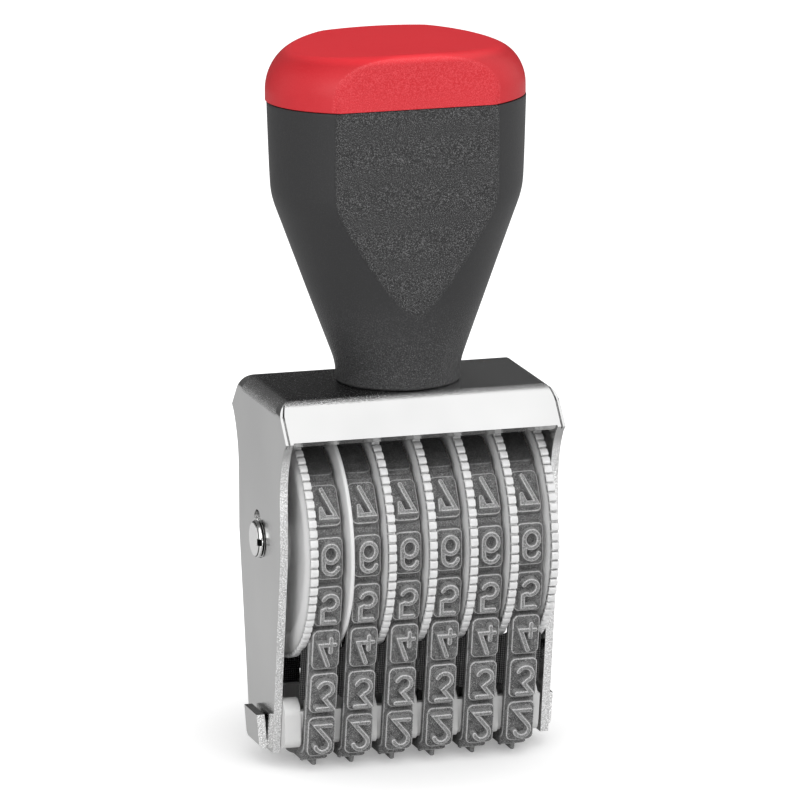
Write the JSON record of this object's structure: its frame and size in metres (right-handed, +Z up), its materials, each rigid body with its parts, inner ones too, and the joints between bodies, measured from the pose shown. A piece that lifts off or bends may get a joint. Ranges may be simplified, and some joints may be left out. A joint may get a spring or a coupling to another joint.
{
  "type": "numbering machine",
  "caption": "Hand numbering stamp: an oval flaring grip with a coloured cap on a bent steel frame that holds rubber number bands, each set by a toothed thumb wheel.",
  "frame": {"origin": "centre of the footprint, on the printing line that the machine stands on", "axes": "+X across the bands to the user's right, +Y away from the user, +Z up along the grip"},
  "size_m": [0.046, 0.0358, 0.108],
  "materials": {
    "frame_steel": "polished nickel plate",
    "grip_plastic": "fine leather grain",
    "cap_plastic": "fine leather grain",
    "screw_steel": "zinc plate",
    "axle_steel": "bright turned",
    "separator_plastic": "smooth",
    "bridge_plastic": "smooth moulded",
    "wheel_plastic": "smooth moulded",
    "band_rubber": "matt moulded rubber"
  },
  "bodies": {
    "frame": {"frame_shell": "frame_steel", "grip_body": "grip_plastic", "grip_cap": "cap_plastic", "grip_screw": "screw_steel", "screw_washer": "screw_steel", "axle": "axle_steel", "axle_spacer": "axle_steel", "axle_washer": "axle_steel", "band_separator": "separator_plastic", "bridge": "bridge_plastic", "number_band_1": "band_rubber", "number_band_2": "band_rubber", "number_band_3": "band_rubber", "number_band_4": "band_rubber", "number_band_5": "band_rubber", "number_band_6": "band_rubber"},
    "wheel_1": {"thumb_wheel_1": "wheel_plastic"},
    "wheel_2": {"thumb_wheel_2": "wheel_plastic"},
    "wheel_3": {"thumb_wheel_3": "wheel_plastic"},
    "wheel_4": {"thumb_wheel_4": "wheel_plastic"},
    "wheel_5": {"thumb_wheel_5": "wheel_plastic"},
    "wheel_6": {"thumb_wheel_6": "wheel_plastic"}
  },
  "joints": [
    {"name": "wheel_1_turn", "type": "hinge", "parent": "frame", "child": "wheel_1", "pos_m": [0, 0, 0.0337], "axis": [1, 0, 0], "continuous": true},
    {"name": "wheel_2_turn", "type": "hinge", "parent": "frame", "child": "wheel_2", "pos_m": [0, 0, 0.0337], "axis": [1, 0, 0], "continuous": true},
    {"name": "wheel_3_turn", "type": "hinge", "parent": "frame", "child": "wheel_3", "pos_m": [0, 0, 0.0337], "axis": [1, 0, 0], "continuous": true},
    {"name": "wheel_4_turn", "type": "hinge", "parent": "frame", "child": "wheel_4", "pos_m": [0, 0, 0.0337], "axis": [1, 0, 0], "continuous": true},
    {"name": "wheel_5_turn", "type": "hinge", "parent": "frame", "child": "wheel_5", "pos_m": [0, 0, 0.0337], "axis": [1, 0, 0], "continuous": true},
    {"name": "wheel_6_turn", "type": "hinge", "parent": "frame", "child": "wheel_6", "pos_m": [0, 0, 0.0337], "axis": [1, 0, 0], "continuous": true}
  ]
}
